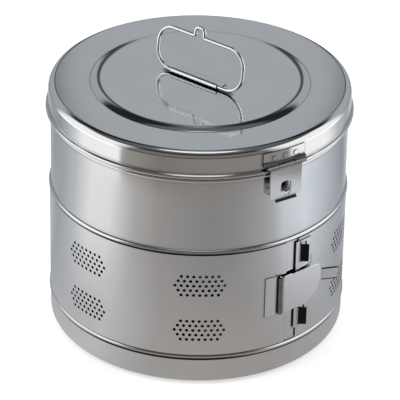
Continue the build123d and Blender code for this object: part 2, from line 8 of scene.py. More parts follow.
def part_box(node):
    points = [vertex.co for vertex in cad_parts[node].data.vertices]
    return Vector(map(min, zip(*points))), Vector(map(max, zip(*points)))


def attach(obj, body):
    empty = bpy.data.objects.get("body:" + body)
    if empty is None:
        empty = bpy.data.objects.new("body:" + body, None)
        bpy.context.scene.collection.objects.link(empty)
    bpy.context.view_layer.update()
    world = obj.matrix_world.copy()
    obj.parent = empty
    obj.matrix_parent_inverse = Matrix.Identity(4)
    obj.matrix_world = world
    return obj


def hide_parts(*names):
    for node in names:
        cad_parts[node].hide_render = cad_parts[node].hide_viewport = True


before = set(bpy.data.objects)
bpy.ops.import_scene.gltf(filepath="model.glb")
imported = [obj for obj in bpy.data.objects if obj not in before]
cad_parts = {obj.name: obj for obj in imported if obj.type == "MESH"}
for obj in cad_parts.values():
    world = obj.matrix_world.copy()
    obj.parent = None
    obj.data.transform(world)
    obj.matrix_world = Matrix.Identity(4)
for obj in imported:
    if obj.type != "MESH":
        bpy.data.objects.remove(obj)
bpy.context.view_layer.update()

# A stainless sterilization drum in a plain studio. Metres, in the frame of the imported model: +Z up,
# the hasp faces -Y. An azimuth is measured from -Y towards +X, in degrees.
mm = 0.001
weld = 1e-7

# ---------------------------------------------------------------- sizes
sheet = 0.8 * mm
wall_radius = 134.2 * mm
wall_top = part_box("drum_shell")[1].z
wall_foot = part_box("drum_shell")[0].z
bead_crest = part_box("drum_shell")[1].x
bead_rise = bead_crest - wall_radius
bead_half_height = 2.4 * mm
rim_roll_radius = 2.2 * mm
base_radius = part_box("base_pan")[1].x
base_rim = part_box("base_pan")[1].z
band_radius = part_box("vent_band")[1].x
band_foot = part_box("vent_band")[0].z
band_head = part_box("vent_band")[1].z
bead_gap = 0.3 * mm
base_bead_height = band_foot - bead_gap - bead_half_height
mid_bead_height = band_head + bead_gap + bead_half_height
lid_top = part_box("lid_pan")[1].z
lid_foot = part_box("lid_pan")[0].z
lid_edge_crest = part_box("lid_pan")[1].x
lid_edge_radius = 1.6 * mm
lid_flat = lid_top - 2.35 * mm
skirt_radius = lid_edge_crest - 2 * lid_edge_radius + sheet
lid_bead_height = lid_foot - 3.2 * mm
lid_bead_rise = 1.7 * mm

vent_rows = (7, 8, 9, 8, 7)
vent_pitch = 5.5 * mm
vent_hole_radius = 1.4 * mm
vent_heights = (57.0 * mm, 103.0 * mm)
vent_groups = 7
vent_first_azimuth = 40.5
vent_group_step = 48.0
vent_tile_degrees = 24
vent_tile_height = 30.0 * mm
band_start = 8.55
band_end = 363.05

camera_azimuth = -33.0


# ---------------------------------------------------------------- outlines
def arc(centre, radius, start, end, steps=10):
    """Points of a round stretch, its angles in degrees from +r towards +z."""
    points = []
    for step in range(steps + 1):
        angle = radians(start + (end - start) * step / steps)
        points.append((centre[0] + radius * cos(angle), centre[1] + radius * sin(angle)))
    return points


def rounded(corners, radii, steps=8):
    """A path through the corners, with the inner ones rounded."""
    path = [corners[0]]
    for before, corner, after, radius in zip(corners, corners[1:], corners[2:], radii):
        c = Vector(corner)
        a = (Vector(before) - c).normalized()
        b = (Vector(after) - c).normalized()
        half = a.angle(b) / 2
        reach = radius / tan(half)
        centre = c + (a + b).normalized() * (radius / sin(half))
        start = c + a * reach - centre
        end = c + b * reach - centre
        turn = start.angle_signed(end)
        for step in range(steps + 1):
            point = start.copy()
            point.rotate(Matrix.Rotation(-turn * step / steps, 2))
            path.append(tuple(centre + point))
    path.append(corners[-1])
    return path


def beside(path, distance):
    """The path moved sideways, to the left of its direction."""
    moved = []
    for index, point in enumerate(path):
        before = Vector(path[max(index - 1, 0)])
        after = Vector(path[min(index + 1, len(path) - 1)])
        along = (after - before).normalized()
        moved.append((point[0] - along.y * distance, point[1] + along.x * distance))
    return moved


def sheet_section(path, thickness):
    """The closed section of a sheet whose outer face follows the path."""
    return list(path) + beside(path, thickness)[::-1]


def bead(height, rise, steps=12):
    """The round swell of a bead in the wall, from its foot to its head."""
    radius = (bead_half_height ** 2 + rise ** 2) / (2 * rise)
    half = degrees(atan2(bead_half_height, radius - rise))
    return arc((wall_radius + rise - radius, height), radius, -half, half, steps)


# ---------------------------------------------------------------- meshes
def on_drum(radius, azimuth, height):
    """A point at a radius and azimuth round the drum's axis."""
    angle = radians(azimuth)
    return Vector((radius * sin(angle), -radius * cos(angle), height))


def keep(name, mesh, material, body, *nodes, smooth_angle=35):
    """Makes a piece from the mesh, standing for the CAD nodes, and lets it ride on its body."""
    piece = bpy.data.objects.new(name, mesh)
    bpy.context.scene.collection.objects.link(piece)
    mesh.materials.append(material)
    if smooth_angle:
        mesh.shade_smooth()
        mesh.set_sharp_from_angle(angle=radians(smooth_angle))
    if nodes:
        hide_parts(*nodes)
    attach(piece, body)
    return piece


def lathe(name, section):
    """A closed section turned once round the drum's axis, in steps of a degree."""
    bm = bmesh.new()
    rings = []
    for step in range(360):
        rings.append([bm.verts.new(on_drum(r, 0.5 + step, z)) for r, z in section])
    count = len(section)
    for ring, after in zip(rings, rings[1:] + rings[:1]):
        for index in range(count):
            following = (index + 1) % count
            corners = [ring[index], after[index], after[following], ring[following]]
            distinct = list({tuple(corner.co): corner for corner in corners}.values())
            if len(distinct) > 2:
                bm.faces.new(distinct)
    bmesh.ops.remove_doubles(bm, verts=bm.verts, dist=weld)
    bmesh.ops.recalc_face_normals(bm, faces=bm.faces)
    mesh = bpy.data.meshes.new(name)
    bm.to_mesh(mesh)
    bm.free()
    return mesh


def vent_places():
    """Where the holes of one vent group lie: staggered rows about its middle."""
    places = []
    for row, count in enumerate(vent_rows):
        level = ((len(vent_rows) - 1) / 2 - row) * vent_pitch * sqrt(3) / 2
        for index in range(count):
            places.append(((index - (count - 1) / 2) * vent_pitch, level))
    return places


class VentTile:
    """One vent group's rectangle of sheet, flat: its points, its triangles and its holes."""

    hole_sides = 16
    edge = 0.15 * mm
    half_fill_rows = 6
    clear_rows = 0.6

    def __init__(self, radius):
        step = radians(1) * radius
        half_columns = vent_tile_degrees // 2
        half_height = vent_tile_height / 2
        self.points = []
        for column in range(-half_columns, half_columns + 1):
            self.points.append(Vector((column * step, -half_height)))
        for column in range(half_columns, -half_columns - 1, -1):
            self.points.append(Vector((column * step, half_height)))
        borders = [list(range(len(self.points)))]
        self.holes = []
        for x, y in vent_places():
            first = len(self.points)
            ring = list(range(first, first + self.hole_sides))
            for side in ring:
                angle = 2 * pi * (side - first) / self.hole_sides
                reach = vent_hole_radius + self.edge
                self.points.append(Vector((x + reach * cos(angle), y + reach * sin(angle))))
            self.holes.append(((x, y), ring))
            borders.append(ring)
        half_rows = (len(vent_rows) - 1) / 2
        for column in range(1 - half_columns, half_columns):
            for row in range(1 - self.half_fill_rows, self.half_fill_rows):
                x, y = column * step, row * half_height / self.half_fill_rows
                reach = (max(vent_rows) + 1 - abs(y) / half_height * half_rows) / 2 * vent_pitch
                if abs(x) > reach or abs(y) > (half_rows + self.clear_rows) * vent_pitch:
                    self.points.append(Vector((x, y)))
        faces = geometry.delaunay_2d_cdt(self.points, [], borders, 0, weld)
        self.triangles = []
        for face in faces[2]:
            middle = sum((faces[0][v] for v in face), Vector((0, 0))) / len(face)
            if all(hypot(middle.x - x, middle.y - y) > vent_hole_radius for x, y in vent_places()):
                self.triangles.append([faces[3][v][0] for v in face])


class PerforatedWall:
    """Both faces of a round sheet with vent groups, gathered with its own smooth normals."""

    def __init__(self, outer, inner):
        self.outer = outer
        self.inner = inner
        self.verts = []
        self.faces = []
        self.normals = []

    def face(self, places, normals):
        first = len(self.verts)
        self.verts.extend(places)
        self.faces.append(list(range(first, first + len(places))))
        self.normals.extend(normals)

    def round_face(self, corners, side):
        """A face on the outer (1) or the inner (-1) side, given as (azimuth, height)."""
        radius = self.outer if side > 0 else self.inner
        ordered = corners if side > 0 else corners[::-1]
        places = [on_drum(radius, azimuth, height) for azimuth, height in ordered]
        normals = [on_drum(side, azimuth, 0) for azimuth, height in ordered]
        self.face(places, normals)

    def plain(self, azimuths, low, high):
        for left, right in zip(azimuths, azimuths[1:]):
            corners = [(left, low), (right, low), (right, high), (left, high)]
            self.round_face(corners, 1)
            self.round_face(corners, -1)

    def vents(self, tile, azimuth, height):
        """One vent group, its holes with a broken outer edge."""
        per_metre = degrees(1 / self.outer)

        def at(point):
            return azimuth + point.x * per_metre, height + point.y

        def shrunk(point, middle):
            return middle + (point - middle) * (vent_hole_radius / (vent_hole_radius + tile.edge))

        inner_points = list(tile.points)
        for middle, ring in tile.holes:
            for index in ring:
                inner_points[index] = shrunk(tile.points[index], Vector(middle))
        for triangle in tile.triangles:
            self.round_face([at(tile.points[index]) for index in triangle], 1)
            self.round_face([at(inner_points[index]) for index in triangle], -1)
        for middle, ring in tile.holes:
            centre = Vector(middle)
            for index, after in zip(ring, ring[1:] + ring[:1]):
                self.hole_side(tile, at, inner_points, index, after, centre)

    def hole_side(self, tile, at, inner_points, index, after, centre):
        edge_places = [on_drum(self.outer, *at(tile.points[i])) for i in (after, index)]
        lip_places = [on_drum(self.outer - tile.edge, *at(inner_points[i])) for i in (index, after)]
        foot_places = [on_drum(self.inner, *at(inner_points[i])) for i in (index, after)]
        axis = on_drum(self.outer, *at(centre))
        out = Vector((axis.x, axis.y, 0)).normalized()
        inwards = [axis - place for place in lip_places]
        to_axis = [(inward - out * inward.dot(out)).normalized() for inward in inwards]
        slant = [(normal + out).normalized() for normal in to_axis]
        self.face(edge_places + lip_places, [slant[1], slant[0], slant[0], slant[1]])
        self.face(lip_places[::-1] + foot_places, [to_axis[1], to_axis[0], to_axis[0], to_axis[1]])

    def mesh(self, name):
        mesh = bpy.data.meshes.new(name)
        mesh.from_pydata(self.verts, [], self.faces)
        mesh.shade_smooth()
        mesh.normals_split_custom_set(self.normals)
        return mesh


# ---------------------------------------------------------------- shader helpers
def node(tree, kind, values=(), **properties):
    """A shader node with its properties and its input values set."""
    made = tree.nodes.new(kind)
    for name, value in properties.items():
        setattr(made, name, value)
    for key, value in dict(values).items():
        made.inputs[key].default_value = value
    return made


def math_node(tree, operation, first, second=None, third=None):
    """A Math node fed by sockets or numbers; returns its output."""
    made = node(tree, "ShaderNodeMath", operation=operation)
    for index, value in enumerate((first, second, third)):
        if value is None:
            continue
        if isinstance(value, (int, float)):
            made.inputs[index].default_value = value
        else:
            tree.links.new(value, made.inputs[index])
    return made.outputs[0]


def ramp(tree, factor, stops):
    """A colour ramp through (position, colour) stops; returns its colour output."""
    made = node(tree, "ShaderNodeValToRGB")
    made.color_ramp.interpolation = "LINEAR"
    elements = made.color_ramp.elements
    while len(elements) < len(stops):
        elements.new(0.5)
    for element, (position, colour) in zip(elements, stops):
        element.position = position
        element.color = (*colour, 1)
    tree.links.new(factor, made.inputs[0])
    return made.outputs[0]


def blend(tree, factor, first, second):
    """A colour mix of two sockets or colours."""
    made = node(tree, "ShaderNodeMix", data_type="RGBA")
    tree.links.new(factor, made.inputs["Factor"])
    for name, value in (("A", first), ("B", second)):
        if isinstance(value, tuple):
            made.inputs[name].default_value = (*value, 1)
        else:
            tree.links.new(value, made.inputs[name])
    return made.outputs["Result"]


def rise(tree, value, low, high):
    """0 below low, 1 above high, smooth between."""
    made = node(tree, "ShaderNodeMapRange", {"From Min": low, "From Max": high},
                interpolation_type="SMOOTHSTEP")
    tree.links.new(value, made.inputs["Value"])
    return made.outputs["Result"]


def fall(tree, value, low, high):
    """1 below low, 0 above high, smooth between."""
    return math_node(tree, "SUBTRACT", 1.0, rise(tree, value, low, high))


def weighted(tree, x, x_share, y, y_share):
    """x times its share plus y times its share, each a socket or a number."""
    return math_node(tree, "ADD", math_node(tree, "MULTIPLY", x, x_share),
                     math_node(tree, "MULTIPLY", y, y_share))


def length(tree, x, y):
    """The length of the flat vector (x, y)."""
    return math_node(tree, "SQRT", weighted(tree, x, x, y, y))


def separate(tree, vector):
    """The outputs X, Y and Z of a vector."""
    split = node(tree, "ShaderNodeSeparateXYZ")
    tree.links.new(vector, split.inputs[0])
    return split.outputs


def rest_place(tree):
    """Where the shaded point lies in the drum's frame when every joint is at rest."""
    return node(tree, "ShaderNodeTexCoord").outputs["Object"]


# ---------------------------------------------------------------- steel
round_grain = (3.5, 2200)    # noise steps per radian round the axis, and per metre across the grain
plain_grain = (300, 900)     # noise steps per metre along a small piece's grain, and across it
grain_depth = 0.01 * mm
grain_noise = {"Scale": 1.0, "Detail": 3.0, "Roughness": 0.6}
swell_noise = {"Scale": 14.0, "Detail": 2.0, "Roughness": 0.5}
smudge_noise = {"Scale": 30.0, "Detail": 4.0, "Roughness": 0.6}
grain_share = 0.4            # of the grain beside the smudges, in what varies the roughness
rough_least = 0.65           # share of the roughness asked for that is there everywhere
rough_swing = 0.5            # share of it that grain and smudges add
smudge_span = (0.3, 0.7)
smudge_shade = 0.96
# Painted shade: ambient occlusion darkens the steel's colour in corners, creases and gaps.
corner_reach = 3.5 * mm
corner_rays = 8
corner_power = 3.2
corner_shade = 0.06


def shaded(colour, share):
    """A darker shade of a colour."""
    return tuple(channel * share for channel in colour)


def steel(name, colour, roughness, grain, waviness=0.06 * mm, painted_corner_power=corner_power):
    """Polished stainless sheet with painted shade in its corners, where ambient occlusion darkens it.
    The grain runs round the drum's axis on a wall, in circles on a disc, and across the height of a
    plain small piece."""
    material = bpy.data.materials.new(name)
    material.use_nodes = True
    tree = material.node_tree
    shader = tree.nodes["Principled BSDF"]
    shader.inputs["Metallic"].default_value = 1.0
    place = rest_place(tree)
    split = separate(tree, place)
    join = node(tree, "ShaderNodeCombineXYZ")
    if grain == "plain":
        along, across = plain_grain
        tree.links.new(math_node(tree, "MULTIPLY", split["X"], along), join.inputs[0])
        tree.links.new(math_node(tree, "MULTIPLY", split["Y"], along), join.inputs[2])
        tree.links.new(math_node(tree, "MULTIPLY", split["Z"], across), join.inputs[1])
    else:
        along, across = round_grain
        angle = math_node(tree, "ARCTAN2", split["Y"], split["X"])
        rows = split["Z"] if grain == "wall" else length(tree, split["X"], split["Y"])
        tree.links.new(math_node(tree, "MULTIPLY", angle, along), join.inputs[0])
        tree.links.new(math_node(tree, "MULTIPLY", rows, across), join.inputs[1])
    lines = node(tree, "ShaderNodeTexNoise", grain_noise)
    tree.links.new(join.outputs[0], lines.inputs["Vector"])
    swells = node(tree, "ShaderNodeTexNoise", swell_noise)
    tree.links.new(place, swells.inputs["Vector"])
    smudges = node(tree, "ShaderNodeTexNoise", smudge_noise)
    tree.links.new(place, smudges.inputs["Vector"])

    grain_bump = node(tree, "ShaderNodeBump", {"Strength": 1.0, "Distance": grain_depth})
    tree.links.new(lines.outputs[0], grain_bump.inputs["Height"])
    swell_bump = node(tree, "ShaderNodeBump", {"Strength": 1.0, "Distance": waviness})
    tree.links.new(swells.outputs[0], swell_bump.inputs["Height"])
    tree.links.new(swell_bump.outputs[0], grain_bump.inputs["Normal"])
    tree.links.new(grain_bump.outputs[0], shader.inputs["Normal"])

    both = math_node(tree, "MULTIPLY_ADD", lines.outputs[0], grain_share, smudges.outputs[0])
    rough = math_node(tree, "MULTIPLY_ADD", both, roughness * rough_swing, roughness * rough_least)
    tree.links.new(rough, shader.inputs["Roughness"])
    shade = ramp(tree, smudges.outputs[0], [
        (smudge_span[0], shaded(colour, smudge_shade)),
        (smudge_span[1], colour),
    ])
    corner = node(tree, "ShaderNodeAmbientOcclusion", {"Distance": corner_reach},
                  samples=corner_rays)
    open_air = math_node(tree, "POWER", corner.outputs["AO"], painted_corner_power)
    shade_in_corners = blend(tree, open_air, shaded(colour, corner_shade), shade)
    tree.links.new(shade_in_corners, shader.inputs["Base Color"])
    return material


def paint_over(material, where, colour):
    """Paints a colour over the steel's own where the mask is 1; each use here paints shade."""
    tree = material.node_tree
    base = tree.nodes["Principled BSDF"].inputs["Base Color"]
    tree.links.new(blend(tree, where, base.links[0].from_socket, colour), base)


# Painted shade under the beads: the first colour all round, the second on the left of the front.
bead_flank_shade = (0.13, 0.13, 0.12)
front_bead_shade = (0.02, 0.018, 0.015)
# Painted shade round the hinge pins.
knuckle_shade = (0.10, 0.10, 0.10)
# Painted shade along the finger tab's edges and under the hasp's lip.
tab_and_lip_shade = (0.06, 0.06, 0.055)
# Painted shade: the steel ears of the bracket are painted black.
ear_shade = (0.022, 0.021, 0.02)
darkest_azimuth = -45
# Soft edges of the painted shades, each as the two distances between which the painted shade fades.
dark_front_edge = (wall_radius * 0.76, wall_radius * 0.95)    # from the axis, towards the darkest
foot_edge = (-3.2 * mm, -2.6 * mm)                       # from the middle of a bead
flank_edge = (-1.3 * mm, -0.5 * mm)
crest_edge = (-0.5 * mm, 0.4 * mm)
pin_edge = (1.9 * mm, 2.9 * mm)                          # from the axis of a pin
tab_side_edge = (4.6 * mm, 5.2 * mm)                     # from the middle of the tab
tab_start_edge = (0.0 * mm, 1.0 * mm)                    # from its start
lip_edge = (2.2 * mm, 3.0 * mm)                          # from the foot of the hasp's leaf
ear_edge = (1.3 * mm, 1.9 * mm)                          # from the band's outer face


def beyond(start, edge):
    """An edge's two places, given as distances from a start."""
    return start + edge[0], start + edge[1]


def shade_beads(material, heights):
    """Painted shade darkens the lower flank of each bead of the wall. On the left of the front, a
    darker painted shade reaches up to the bead's crest."""
    tree = material.node_tree
    split = separate(tree, rest_place(tree))
    darkest = radians(darkest_azimuth)
    towards = weighted(tree, split["X"], sin(darkest), split["Y"], -cos(darkest))
    dark_side = rise(tree, towards, *dark_front_edge)
    for height in heights:
        above_foot = rise(tree, split["Z"], *beyond(height, foot_edge))
        below_flank = fall(tree, split["Z"], *beyond(height, flank_edge))
        below_crest = fall(tree, split["Z"], *beyond(height, crest_edge))
        paint_over(material, math_node(tree, "MULTIPLY", above_foot, below_flank), bead_flank_shade)
        up_to_crest = math_node(tree, "MULTIPLY", above_foot, below_crest)
        paint_over(material, math_node(tree, "MULTIPLY", up_to_crest, dark_side), front_bead_shade)


def shade_knuckles(material, pin, axes):
    """Painted shade darkens the steel close round a hinge pin, given the two axes across the pin."""
    tree = material.node_tree
    split = separate(tree, rest_place(tree))
    middle = (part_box(pin)[0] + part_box(pin)[1]) / 2
    offsets = [math_node(tree, "SUBTRACT", split[axis], middle["XYZ".index(axis)]) for axis in axes]
    paint_over(material, fall(tree, length(tree, *offsets), *pin_edge), knuckle_shade)


def shade_tab_edges(material, leaf):
    """Painted shade lies along both edges of the finger tab at the end of the clasp's leaf."""
    tree = material.node_tree
    split = separate(tree, rest_place(tree))
    low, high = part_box(leaf)
    tab_length, tab_lift = 15.0 * mm, 7.0 * mm
    middle = (low.z + high.z) / 2 + tab_lift
    aside = math_node(tree, "ABSOLUTE", math_node(tree, "SUBTRACT", split["Z"], middle))
    at_edge = rise(tree, aside, *tab_side_edge)
    on_tab = rise(tree, split["X"], *beyond(high.x - tab_length, tab_start_edge))
    paint_over(material, math_node(tree, "MULTIPLY", at_edge, on_tab), tab_and_lip_shade)


def shade_lip(material, leaf):
    """Painted shade darkens the curled lip at the foot of the hasp's leaf."""
    tree = material.node_tree
    height = separate(tree, rest_place(tree))["Z"]
    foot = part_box(leaf)[0].z
    paint_over(material, fall(tree, height, *beyond(foot, lip_edge)), tab_and_lip_shade)


def shade_ears(material):
    """The lanced ears of the clasp's bracket are painted black as shade where they stand clear of the
    band.
    """
    tree = material.node_tree
    split = separate(tree, rest_place(tree))
    reach = length(tree, split["X"], split["Y"])
    paint_over(material, rise(tree, reach, *beyond(band_radius, ear_edge)), ear_shade)


steel_colour = (0.87, 0.87, 0.88)
# Painted highlight: the clasp's steel is a brighter copy of the same steel colour.
clasp_lit_colour = (0.96, 0.955, 0.975)
# Painted highlight: the wire's steel is a brighter copy of the same steel colour.
wire_lit_colour = (0.93, 0.93, 0.94)
# Painted shade: the stud is a darkened copy of the same steel.
stud_shaded_colour = (0.22, 0.23, 0.22)
leaf_waves = 0.02 * mm
turned_waves = 0.01 * mm
# How strongly the painted corner shade darkens the wall and the band.
wall_corner_shade_power = 1.2
wall_steel = steel("wall_steel", steel_colour, 0.11, "wall", painted_corner_power=wall_corner_shade_power)
lid_steel = steel("lid_steel", steel_colour, 0.08, "disc")
band_steel = steel("band_steel", steel_colour, 0.13, "wall", painted_corner_power=wall_corner_shade_power)
fitting_steel = steel("fitting_steel", steel_colour, 0.09, "plain", leaf_waves)
turned_steel = steel("turned_steel", steel_colour, 0.08, "plain", turned_waves)
bracket_steel = steel("bracket_steel", steel_colour, 0.09, "plain", leaf_waves)
clasp_steel = steel("clasp_steel", clasp_lit_colour, 0.09, "plain", leaf_waves)
hasp_steel = steel("hasp_steel", steel_colour, 0.09, "plain", leaf_waves)
shaded_stud_steel = steel("shaded_stud_steel", stud_shaded_colour, 0.12, "plain", turned_waves)
wire_steel = steel("wire_steel", wire_lit_colour, 0.06, "plain", turned_waves)
shade_beads(wall_steel, (base_bead_height, mid_bead_height))
shade_knuckles(clasp_steel, "clasp_pin", "XY")
shade_tab_edges(clasp_steel, "clasp_leaf")
shade_knuckles(hasp_steel, "hasp_pin", "YZ")
shade_lip(hasp_steel, "hasp_leaf")
shade_ears(bracket_steel)


# ---------------------------------------------------------------- camera
def place_camera():
    """The photograph's camera: a long lens, 30 degrees above the lid's plane, left of the hasp."""
    azimuth, elevation, roll = radians(camera_azimuth), radians(29.85), radians(1.18)
    distance, aim_aside, aim_height = 2.6333, 0.00203, 0.11274
    focal_pixels, picture_pixels = 2872.8, 400.0
    right = Vector((cos(azimuth), sin(azimuth), 0))
    back = Vector((sin(azimuth) * cos(elevation), -cos(azimuth) * cos(elevation), sin(elevation)))
    target = right * aim_aside + Vector((0, 0, aim_height))
    up = back.cross(right)
    rolled_right = right * cos(roll) + up * sin(roll)
    rolled_up = up * cos(roll) - right * sin(roll)
    data = bpy.data.cameras.new("camera")
    data.sensor_width = 36.0
    data.lens = focal_pixels / picture_pixels * data.sensor_width
    data.clip_end = 50.0
    camera = bpy.data.objects.new("camera", data)
    bpy.context.scene.collection.objects.link(camera)
    turn = Matrix((rolled_right, rolled_up, back)).transposed().to_4x4()
    camera.matrix_world = Matrix.Translation(target + back * distance) @ turn
    bpy.context.scene.camera = camera


place_camera()


# ---------------------------------------------------------------- drum
def vent_centres():
    return [vent_first_azimuth + vent_group_step * group for group in range(vent_groups)]


def perforated(outer, start, end):
    """A round sheet from the lower edge of the lower vents to the upper edge of the upper ones."""
    wall = PerforatedWall(outer, outer - sheet)
    tile = VentTile(outer)
    half = vent_tile_degrees / 2
    levels = [height + side * vent_tile_height / 2 for height in vent_heights for side in (-1, 1)]
    tile_edges = [centre + side * half for centre in vent_centres() for side in (-1, 1)]
    plain_edges = [start, *tile_edges, end]
    for left, right in zip(plain_edges[0::2], plain_edges[1::2]):
        count = max(1, round(right - left))
        columns = [left + (right - left) * step / count for step in range(count + 1)]
        for low, high in zip(levels, levels[1:]):
            wall.plain(columns, low, high)
    for centre in vent_centres():
        columns = [centre - half + step for step in range(vent_tile_degrees + 1)]
        wall.plain(columns, levels[1], levels[2])
        for height in vent_heights:
            wall.vents(tile, centre, height)
    return wall, levels


def make_wall():
    seam = vent_first_azimuth - vent_group_step / 2
    wall, levels = perforated(wall_radius, seam, seam + 360)
    keep("drum_wall_vents", wall.mesh("drum_wall_vents"), wall_steel, "drum", smooth_angle=0)
    lower = [(wall_radius, wall_foot)]
    lower += bead(base_bead_height, bead_rise)
    lower += [(wall_radius, levels[0])]
    keep("drum_wall_foot", lathe("drum_wall_foot", sheet_section(lower, sheet)), wall_steel, "drum")
    upper = [(wall_radius, levels[3])] + bead(mid_bead_height, bead_rise)
    upper += bead(lid_bead_height, lid_bead_rise)
    rim_turn = 290
    rim_centre = (wall_radius - rim_roll_radius, wall_top - rim_roll_radius)
    upper += arc(rim_centre, rim_roll_radius, 0, rim_turn, 24)
    keep("drum_wall_head", lathe("drum_wall_head", sheet_section(upper, sheet)),
         wall_steel, "drum", "drum_shell")


def make_band():
    wall, levels = perforated(band_radius, band_start, band_end)
    steps = 354
    columns = [band_start + (band_end - band_start) * step / steps for step in range(steps + 1)]
    wall.plain(columns, band_foot, levels[0])
    wall.plain(columns, levels[3], band_head)
    mesh = wall.mesh("vent_band_sheet")
    keep("vent_band_sheet", mesh, band_steel, "band", "vent_band", smooth_angle=0)


def make_base():
    ring_depth, ring_middle, ring_half, ring_slope = 2.2 * mm, 95.5 * mm, 4.0 * mm, 2.5 * mm
    ring_fillet, foot_fillet = 1.5 * mm, 9.0 * mm
    path = rounded(
        [(0, 0), (ring_middle - ring_half - ring_slope, 0), (ring_middle - ring_half, ring_depth),
         (ring_middle + ring_half, ring_depth), (ring_middle + ring_half + ring_slope, 0),
         (base_radius, 0), (base_radius, base_rim)],
        [ring_fillet] * 4 + [foot_fillet],
    )
    mesh = lathe("base_cup", sheet_section(path, sheet))
    keep("base_cup", mesh, wall_steel, "drum", "base_pan")


def make_lid():
    """The lid: a raised middle in a soft ring, a round shoulder, a skirt and a wired edge, on which
    the sheet lies down at a slope."""
    middle_radius, ring_radius = 93.4 * mm, 98.65 * mm
    middle_fillet, ring_fillet, shoulder_fillet = 23.0 * mm, 3.0 * mm, 6.6 * mm
    path = rounded(
        [(0, lid_top), (middle_radius, lid_top), (ring_radius, lid_flat), (skirt_radius, lid_flat),
         (skirt_radius, lid_foot + lid_edge_radius)],
        [middle_fillet, ring_fillet, shoulder_fillet], 14,
    )
    slope, roll_end, slope_fillet = 58, -150, 1.0 * mm
    centre = (lid_edge_crest - lid_edge_radius, lid_foot + lid_edge_radius)
    roll = arc(centre, lid_edge_radius, slope, roll_end, 20)
    slope_head = roll[0][1] + (roll[0][0] - skirt_radius) / tan(radians(slope))
    bend = rounded([path[-2], (skirt_radius, slope_head), roll[0]], [slope_fillet])
    section = path[:-1] + bend[1:-1] + roll + beside(path, -sheet)[::-1]
    keep("lid_pressing", lathe("lid_pressing", section), lid_steel, "lid", "lid_pan")


make_wall()
make_band()
make_base()
make_lid()

# ---------------------------------------------------------------- small pieces
node_steels = (
    (fitting_steel, ("hinge_drum_leaf", "hinge_lid_leaf", "handle_saddle", "hasp_stud_washer")),
    (hasp_steel, ("hasp_plate", "hasp_leaf")),
    (clasp_steel, ("clasp_fixed_leaf", "clasp_leaf")),
    (shaded_stud_steel, ("hasp_stud",)),
    (bracket_steel, ("clasp_bracket",)),
    (turned_steel, ("hinge_pin", "hasp_pin", "clasp_pin", "hinge_drum_rivets", "hinge_lid_rivets",
                    "hasp_rivets")),
    (wire_steel, ("handle_loop",)),
)
edge_break = 0.28 * mm
sharp_edge = 40
for material, names in node_steels:
    for name in names:
        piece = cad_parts[name]
        piece.data.materials.clear()
        piece.data.materials.append(material)
        soften = piece.modifiers.new("edges", "BEVEL")
        soften.width = edge_break
        soften.segments = 3
        soften.limit_method = "ANGLE"
        soften.angle_limit = radians(sharp_edge)
        soften.harden_normals = False


# ---------------------------------------------------------------- studio
drum_middle = 0.12
# Soft edges between the parts of the studio: in degrees above the floor for the dome,
horizon_edge = (1.0, 5.0)
overhead_edge = (37.0, 43.0)
gap_head_edge = (40.0, 52.0)
steep_edge = (54.0, 60.0)
roof_edge = (74.0, 79.0)
# and in metres from the drum's axis for the disc on the floor.
middle_edge = (0.17, 0.40)
outer_edge = (0.478, 0.492)
gap_start_edge = (0.55, 0.85)
distance_edge = (0.9, 1.3)


def from_front(tree, x, y):
    """A direction's azimuth from the studio's front, where the photograph's camera stands: 0 to 1
    for -180 to 180 degrees."""
    front = radians(camera_azimuth)
    aside = weighted(tree, x, cos(front), y, sin(front))
    ahead = weighted(tree, x, sin(front), y, -cos(front))
    azimuth = math_node(tree, "ARCTAN2", aside, ahead)
    return math_node(tree, "MULTIPLY_ADD", azimuth, 1 / (2 * pi), 0.5)


def grey(level, warmth=0.0):
    """A grey, cold below zero warmth and brownish above it."""
    return (level * (1 + warmth), level, level * (1 - warmth))


def round_studio(*stops):
    """Ramp stops from (degrees from the front, colour) pairs."""
    return [((angle + 180) / 360, colour) for angle, colour in stops]


def shown_rays(tree):
    """1 for the rays that look at the background: the camera's, and those that leave steel or
    glass."""
    path = node(tree, "ShaderNodeLightPath").outputs
    looks = math_node(tree, "MAXIMUM", path["Is Camera Ray"], path["Is Glossy Ray"])
    return math_node(tree, "MAXIMUM", looks, path["Is Transmission Ray"])


def white_world():
    """White behind everything for the camera and in the steel, and a plain level for the rest."""
    world = bpy.data.worlds.new("studio")
    bpy.context.scene.world = world
    world.use_nodes = True
    tree = world.node_tree
    plain_level, white_level = 0.8, 1.0
    sky = blend(tree, shown_rays(tree), grey(plain_level), grey(white_level))
    tree.links.new(sky, tree.nodes["Background"].inputs["Color"])


def make_floor():
    """A plain white floor that keeps the drum's shadow."""
    reach, depth = 6.0, 0.4 * mm
    paint_level, paint_roughness, white_share = 0.93, 0.9, 0.6
    corners = [(-reach, -reach, 0), (reach, -reach, 0), (reach, reach, 0), (-reach, reach, 0)]
    mesh = bpy.data.meshes.new("floor")
    mesh.from_pydata(corners, [], [(0, 1, 2, 3)])
    floor = bpy.data.objects.new("floor", mesh)
    bpy.context.scene.collection.objects.link(floor)
    floor.location.z = -depth
    material = bpy.data.materials.new("floor")
    material.use_nodes = True
    tree = material.node_tree
    paint = tree.nodes["Principled BSDF"]
    paint.inputs["Base Color"].default_value = (*grey(paint_level), 1)
    paint.inputs["Roughness"].default_value = paint_roughness
    white = node(tree, "ShaderNodeEmission", {"Color": (1, 1, 1, 1), "Strength": 1.0})
    face = node(tree, "ShaderNodeMixShader")
    tree.links.new(math_node(tree, "MULTIPLY", shown_rays(tree), white_share), face.inputs["Fac"])
    tree.links.new(paint.outputs[0], face.inputs[1])
    tree.links.new(white.outputs[0], face.inputs[2])
    tree.links.new(face.outputs[0], tree.nodes["Material Output"].inputs["Surface"])
    mesh.materials.append(material)


